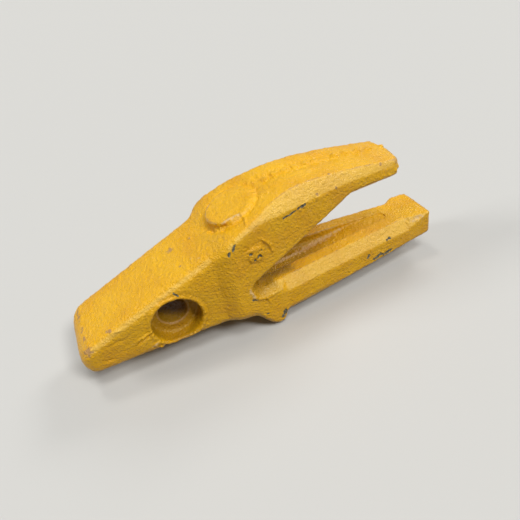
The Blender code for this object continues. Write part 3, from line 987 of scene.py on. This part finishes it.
    def relief(self, tree: bpy.types.NodeTree, place: bpy.types.NodeSocket,
               bare: bpy.types.NodeSocket) -> bpy.types.NodeSocket:
        """Small relief of the surface.

        Args:
            tree: Tree that takes the nodes.
            place: Socket with the place in metres.
            bare: Mask of the chips.

        Returns:
            Normal with the cast grain under the enamel and the step at each chip.
        """
        peel = noise(tree, place, self.peel_mm, self.peel_detail)
        grain = noise(tree, place, self.grain_mm, self.grain_detail)
        coarse = add_node(tree, "ShaderNodeBump", {"Distance": self.peel_height_mm * MM},
                          {"Height": peel})
        fine = add_node(tree, "ShaderNodeBump", {"Distance": self.grain_height_mm * MM},
                        {"Height": grain, "Normal": coarse.outputs[0]})
        down = add_node(tree, "ShaderNodeBump", {
            "Distance": self.chip_step_mm * MM, "invert": True},
            {"Height": bare, "Normal": fine.outputs[0]})
        return down.outputs[0]


def add_node(tree: bpy.types.NodeTree, kind: str, settings: dict | None = None,
             links: dict | None = None) -> bpy.types.Node:
    """Add one shader node.

    Args:
        tree: Tree that takes the node.
        kind: Blender's type name of the node.
        settings: Values by property name, or by socket name or number.
        links: Output sockets to connect, by input socket name or number.

    Returns:
        The new node.
    """
    node = tree.nodes.new(kind)
    for key, value in (settings or {}).items():
        if isinstance(key, str) and hasattr(node, key):
            setattr(node, key, value)
        else:
            node.inputs[key].default_value = value
    for key, output in (links or {}).items():
        tree.links.new(output, node.inputs[key])
    return node


def noise(tree: bpy.types.NodeTree, place: bpy.types.NodeSocket, size_mm: float,
          detail: float) -> bpy.types.NodeSocket:
    """Noise from 0 to 1 with lumps of a real size.

    Args:
        tree: Tree that takes the node.
        place: Socket with the place in metres.
        size_mm: Width of the largest lumps.
        detail: How many finer scales are added.

    Returns:
        The noise's value.
    """
    return add_node(tree, "ShaderNodeTexNoise", {"Scale": 1 / (size_mm * MM), "Detail": detail},
                    {"Vector": place}).outputs["Fac"]


def stored(tree: bpy.types.NodeTree, name: str) -> bpy.types.NodeSocket:
    """Value that the mesh keeps for each vertex under a name."""
    return add_node(tree, "ShaderNodeAttribute", {"attribute_name": name}).outputs["Fac"]


def span(tree: bpy.types.NodeTree, value: bpy.types.NodeSocket, limits: Span,
         most: float = 1.0) -> bpy.types.NodeSocket:
    """Spread the values between two limits over 0 to most, and clamp the rest."""
    return add_node(tree, "ShaderNodeMapRange", {
        "From Min": limits[0], "From Max": limits[1], "To Max": most}, {"Value": value}).outputs[0]


def scaled(tree: bpy.types.NodeTree, value: bpy.types.NodeSocket,
           share: float) -> bpy.types.NodeSocket:
    """Multiply a value by a constant share."""
    return add_node(tree, "ShaderNodeMath", {"operation": "MULTIPLY", 1: share},
                    {0: value}).outputs[0]


def mix_numbers(tree: bpy.types.NodeTree, share: bpy.types.NodeSocket,
                low: bpy.types.NodeSocket | float, high: float) -> bpy.types.NodeSocket:
    """Mix two numbers.

    Args:
        tree: Tree that takes the node.
        share: Share of the second number.
        low: Number, or the socket with it, where the share is 0.
        high: Number where the share is 1.

    Returns:
        The mixed number.
    """
    node = add_node(tree, "ShaderNodeMix", {MixInput.HIGH: high}, {MixInput.SHARE: share})
    if isinstance(low, float):
        node.inputs[MixInput.LOW].default_value = low
    else:
        tree.links.new(low, node.inputs[MixInput.LOW])
    return node.outputs[MixOutput.NUMBER]


def mix_colours(tree: bpy.types.NodeTree, share: bpy.types.NodeSocket,
                first: bpy.types.NodeSocket | str,
                second: bpy.types.NodeSocket | str) -> bpy.types.NodeSocket:
    """Mix two colours, each a socket or a hex code.

    Args:
        tree: Tree that takes the node.
        share: Share of the second colour.
        first: Colour where the share is 0.
        second: Colour where the share is 1.

    Returns:
        The mixed colour.
    """
    node = add_node(tree, "ShaderNodeMix", {"data_type": "RGBA"}, {MixInput.SHARE: share})
    for number, colour in ((MixInput.FIRST, first), (MixInput.SECOND, second)):
        if isinstance(colour, str):
            node.inputs[number].default_value = hex_to_linear(colour)
        else:
            tree.links.new(colour, node.inputs[number])
    return node.outputs[MixOutput.COLOUR]


@dataclass(frozen=True)
class Lamp:
    """One soft round light, so far off that it lights the floor evenly."""

    name: str
    toward: Point
    strength: float
    width_degrees: float = 18.0


@dataclass(frozen=True)
class Studio:
    """Pale floor, soft light and the camera at the photograph's angle."""

    # The floor looks pale and sends back less light, like the ground of the photograph
    floor_seen: str = "#C8C7C3"
    floor_bounce: str = "#777672"
    floor_roughness: float = 0.9
    floor_half: float = 20000.0
    floor_drop: float = 0.3
    # Strength of the sky as a light, and as what camera and reflections see
    sky: str = "#F6F6F4"
    sky_light: float = 0.12
    sky_seen: float = 0.6
    lamps: tuple[Lamp, ...] = (
        Lamp("front", (0.32, -0.63, 0.71), 1.58, 14.0),
        Lamp("front_top", (0.08, -0.38, 0.92), 1.15),
        Lamp("left", (-0.8, 0.2, 0.56), 0.85),
        Lamp("back_right", (0.7, 0.4, 0.59), 0.72),
        Lamp("key", (-0.10, 0.3, 0.95), 0.4, 12.0),
    )
    # Place and directions of the camera, from the fit to the photograph's edges
    camera_at: Point = (-244.26, -352.22, 280.31)
    right: Point = (0.91002, -0.38343, -0.15761)
    down: Point = (-0.35247, -0.51548, -0.78106)
    lens: float = 36.328
    sensor: float = 36.0
    nearest: float = 10.0

    def build(self) -> None:
        """Make the floor, the lamps, the world and the camera."""
        self.add_floor()
        self.add_lamps()
        self.add_world()
        self.add_camera()
        bpy.context.scene.view_settings.view_transform = "Standard"

    def seen(self, tree: bpy.types.NodeTree) -> bpy.types.NodeSocket:
        """1 for the rays that show the floor or the sky, 0 for those that carry their light."""
        path = add_node(tree, "ShaderNodeLightPath")
        shown = path.outputs["Is Camera Ray"]
        for name in ("Is Glossy Ray", "Is Transmission Ray"):
            shown = add_node(tree, "ShaderNodeMath", {"operation": "MAXIMUM"},
                             {0: shown, 1: path.outputs[name]}).outputs[0]
        return shown

    def add_floor(self) -> None:
        """Lay the floor just under the casting."""
        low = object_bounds()[0].z - self.floor_drop * MM
        bm = bmesh.new()
        bmesh.ops.create_grid(bm, x_segments=1, y_segments=1, size=self.floor_half * MM)
        mesh = bpy.data.meshes.new("studio_floor")
        bm.to_mesh(mesh)
        bm.free()
        floor = bpy.data.objects.new("studio_floor", mesh)
        floor.location = (0.0, 0.0, low)
        bpy.context.scene.collection.objects.link(floor)
        material = bpy.data.materials.new("matt_studio_floor")
        material.use_nodes = True
        tree = material.node_tree
        shader = tree.nodes["Principled BSDF"]
        colour = mix_colours(tree, self.seen(tree), self.floor_bounce, self.floor_seen)
        tree.links.new(colour, shader.inputs["Base Color"])
        shader.inputs["Roughness"].default_value = self.floor_roughness
        mesh.materials.append(material)
        floor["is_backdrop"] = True

    def add_lamps(self) -> None:
        """Set the soft lights round the casting."""
        for lamp in self.lamps:
            data = bpy.data.lights.new(lamp.name, "SUN")
            data.angle = math.radians(lamp.width_degrees)
            data.energy = lamp.strength
            light = bpy.data.objects.new(lamp.name, data)
            light.rotation_mode = "QUATERNION"
            light.rotation_quaternion = (-Vector(lamp.toward)).to_track_quat("-Z", "Y")
            bpy.context.scene.collection.objects.link(light)

    def add_world(self) -> None:
        """Fill the room with weak even light, and show a pale sky above the floor."""
        world = bpy.data.worlds.new("studio")
        bpy.context.scene.world = world
        world.use_nodes = True
        tree = world.node_tree
        background = tree.nodes["Background"]
        background.inputs["Color"].default_value = hex_to_linear(self.sky)
        strength = mix_numbers(tree, self.seen(tree), self.sky_light, self.sky_seen)
        tree.links.new(strength, background.inputs["Strength"])

    def add_camera(self) -> None:
        """Put the camera where the photograph was taken from."""
        data = bpy.data.cameras.new("camera")
        data.lens = self.lens
        data.sensor_width = self.sensor
        data.clip_start = self.nearest * MM
        camera = bpy.data.objects.new("camera", data)
        right = Vector(self.right).normalized()
        down = Vector(self.down).normalized()
        back = right.cross(-down)
        turn = Matrix((right, -down, back)).transposed().to_4x4()
        camera.matrix_world = Matrix.Translation(Vector(self.camera_at) * MM) @ turn
        bpy.context.scene.collection.objects.link(camera)
        bpy.context.scene.camera = camera


def main() -> None:
    """Build the casting, dress it, and set the studio round it."""
    logging.basicConfig(level=logging.INFO)
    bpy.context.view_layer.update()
    casting = Casting()
    piece = casting.build()
    casting.dress(piece, YellowEnamel().build())
    triangles = sum(len(face.vertices) - 2 for face in piece.data.polygons)
    LOG.info("%s: %d triangles", piece.name, triangles)
    Studio().build()


if __name__ == "__main__":
    main()
